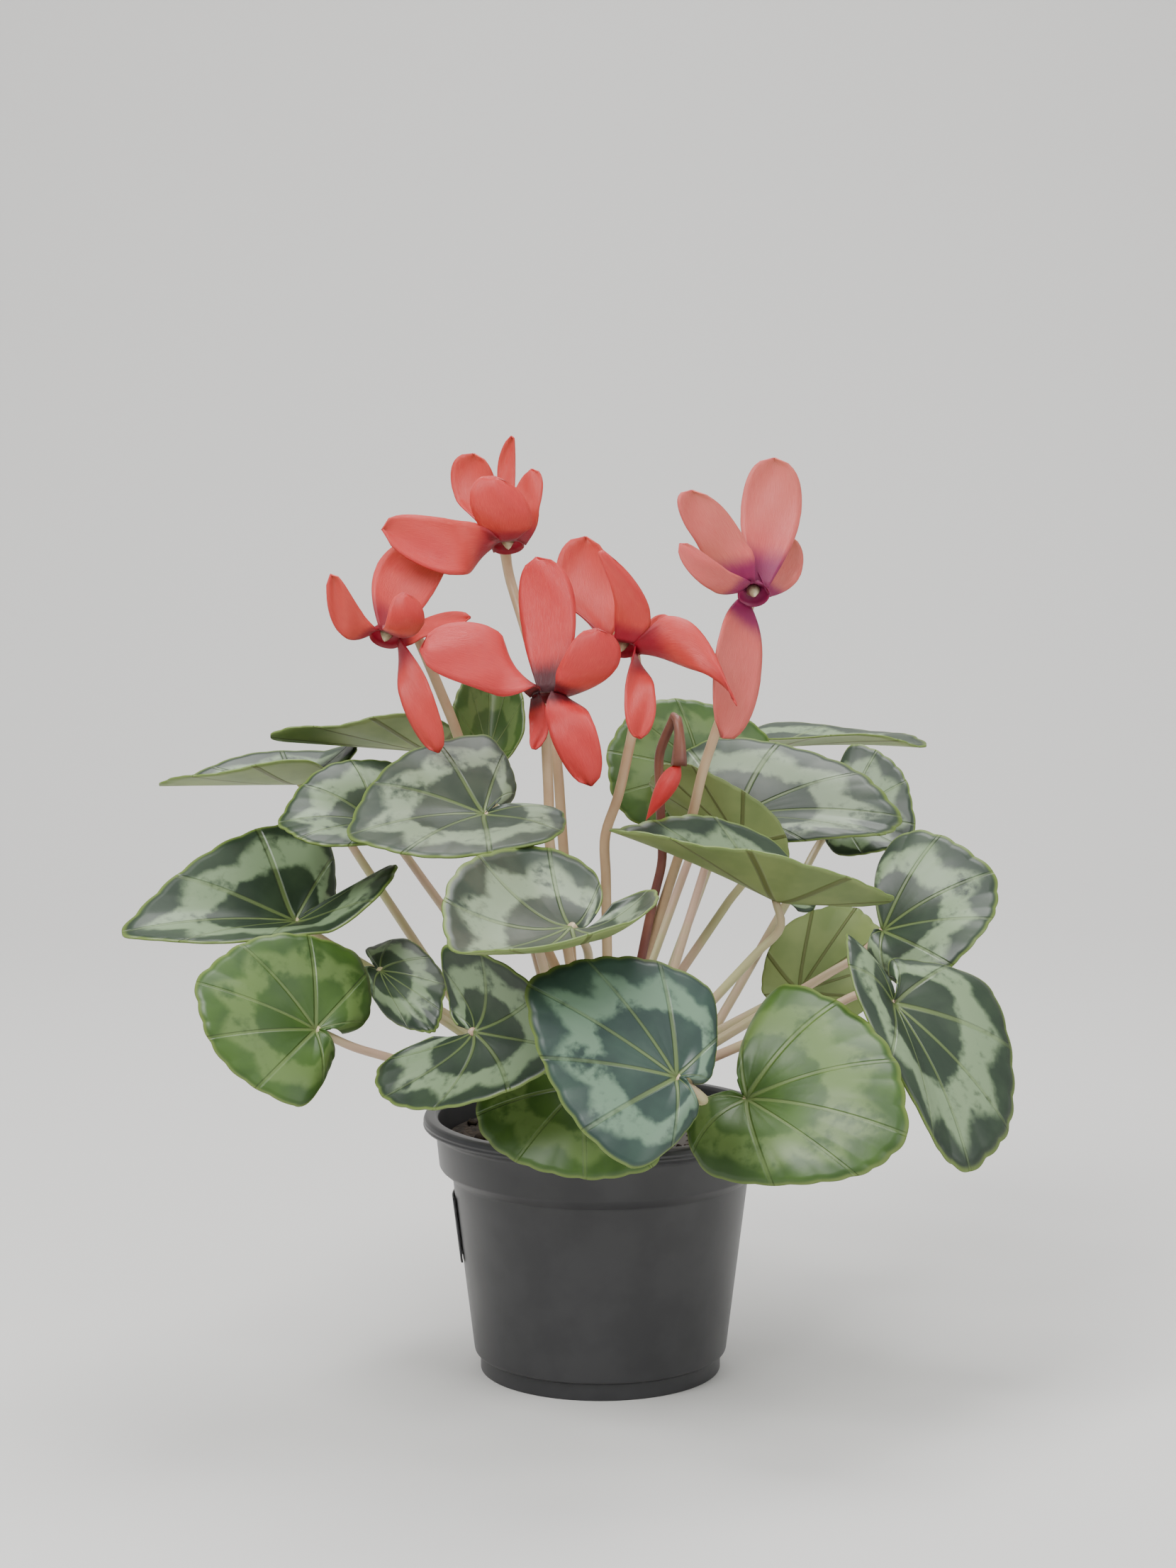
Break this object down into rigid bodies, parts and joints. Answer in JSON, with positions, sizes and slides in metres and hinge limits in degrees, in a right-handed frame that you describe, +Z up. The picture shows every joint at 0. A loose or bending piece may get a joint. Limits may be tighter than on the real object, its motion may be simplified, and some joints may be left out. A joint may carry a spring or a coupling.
{
  "type": "potted cyclamen",
  "caption": "Potted cyclamen with heart-shaped patterned leaves, reflexed coral-red flowers and a hooked bud, growing from a tuber in a black nursery pot.",
  "frame": {"origin": "middle of the whole plant's width and depth, on the surface that the pot stands on; the pot's own axis is to one side of it", "axes": "+Z up; -Y towards the front, the side that the flowers and most leaves face; +X to the right seen from the front"},
  "size_m": [0.2886, 0.2904, 0.3153],
  "materials": {
    "pot_plastic": "satin black moulded plastic with fine mould ridges",
    "label_plastic": "thin dark plastic label",
    "soil": null,
    "tuber_skin": "rough corky skin",
    "leaf": "waxy leaf, dark green with a silver-green band; leather stands in for living leaf",
    "petal": "soft satin petal; leather stands in for living petal",
    "flower_stalk": "smooth fleshy stalk; leather stands in for it",
    "bud_stalk": "smooth fleshy stalk, maroon; leather stands in for it",
    "stamens": "dusty pollen cone; leather stands in for it"
  },
  "bodies": {
    "root": {"bud": "petal", "bud_stalk": "bud_stalk", "flower_1_petals": "petal", "flower_1_stalk": "flower_stalk", "flower_1_stamens": "stamens", "flower_2_petals": "petal", "flower_2_stalk": "flower_stalk", "flower_2_stamens": "stamens", "flower_3_petals": "petal", "flower_3_stalk": "flower_stalk", "flower_4_petals": "petal", "flower_4_stalk": "flower_stalk", "flower_4_stamens": "stamens", "flower_5_petals": "petal", "flower_5_stalk": "flower_stalk", "flower_5_stamens": "stamens", "leaf_01": "leaf", "leaf_03": "leaf", "leaf_04": "leaf", "leaf_05": "leaf", "leaf_06": "leaf", "leaf_07": "leaf", "leaf_08": "leaf", "leaf_09": "leaf", "leaf_10": "leaf", "leaf_11": "leaf", "leaf_12": "leaf", "leaf_14": "leaf", "leaf_15": "leaf", "leaf_17": "leaf", "leaf_18": "leaf", "leaf_19": "leaf", "leaf_20": "leaf", "leaf_21": "leaf", "leaf_22": "leaf", "leaf_24": "leaf", "leaf_27": "leaf", "leaf_29": "leaf", "pot": "pot_plastic", "pot_label": "label_plastic", "soil": "soil", "tuber": "tuber_skin"}
  },
  "joints": []
}
